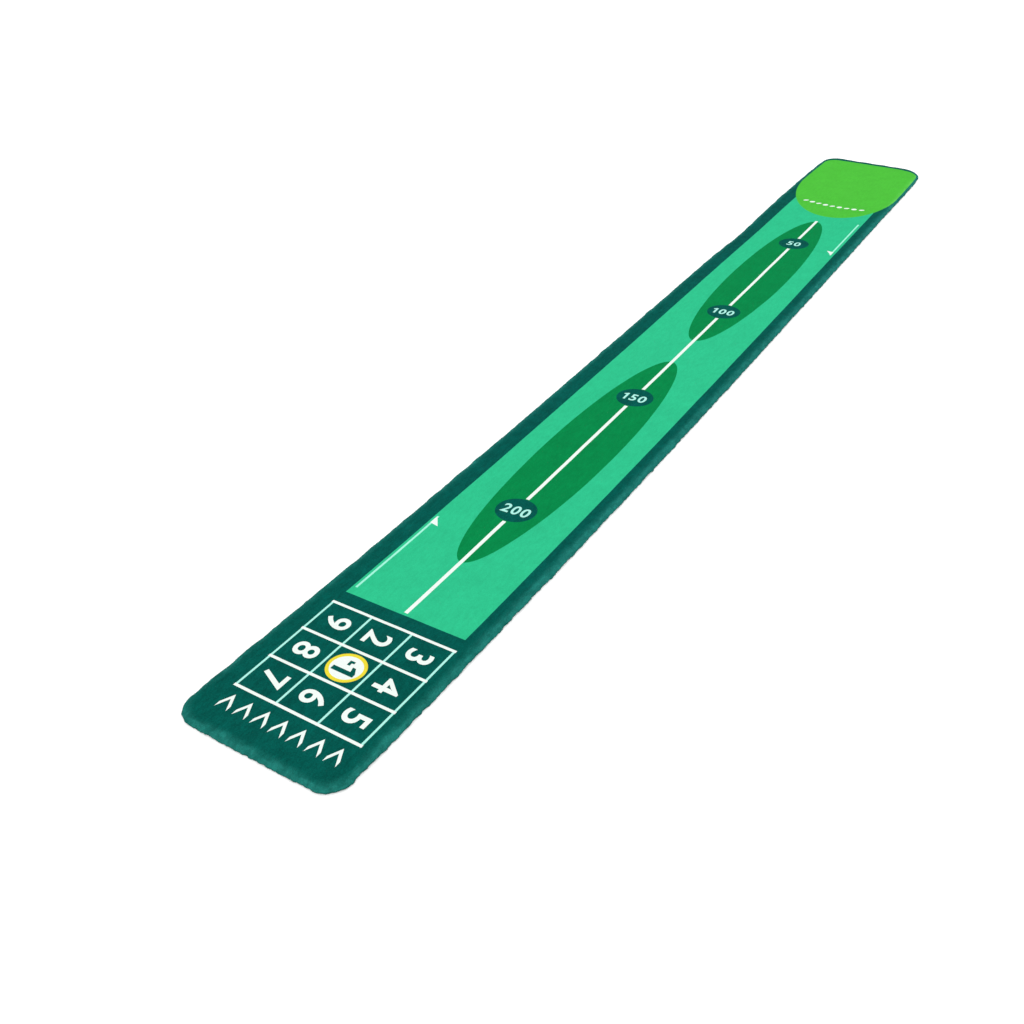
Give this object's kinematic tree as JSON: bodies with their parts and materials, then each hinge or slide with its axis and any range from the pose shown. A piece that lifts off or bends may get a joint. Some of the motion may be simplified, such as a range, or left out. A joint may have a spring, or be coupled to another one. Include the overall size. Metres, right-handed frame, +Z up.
{
  "type": "practice putting mat",
  "caption": "Long narrow padded putting mat with rounded corners: printed short-pile top, foam core, non-slip backing and turned, sewn edges.",
  "frame": {"origin": "on the floor, under the middle of the mat", "axes": "+X across the mat to the right when looking along it from the numbered end, +Y along the mat towards the plain bright green end, +Z up"},
  "size_m": [0.285, 2.4, 0.01],
  "materials": {
    "printed_pile": "short dense pile, soft sheen",
    "foam": "open-cell foam, matt",
    "backing": "plain woven cloth, matt",
    "grip": "soft anti-slip dots, satin",
    "thread": "spun polyester thread"
  },
  "bodies": {
    "root": {"face_cloth": "printed_pile", "foam_core": "foam", "backing_cloth": "backing", "grip_coating": "grip", "seam_thread": "thread", "overlock_thread": "thread", "closing_stitches": "thread"}
  },
  "joints": []
}
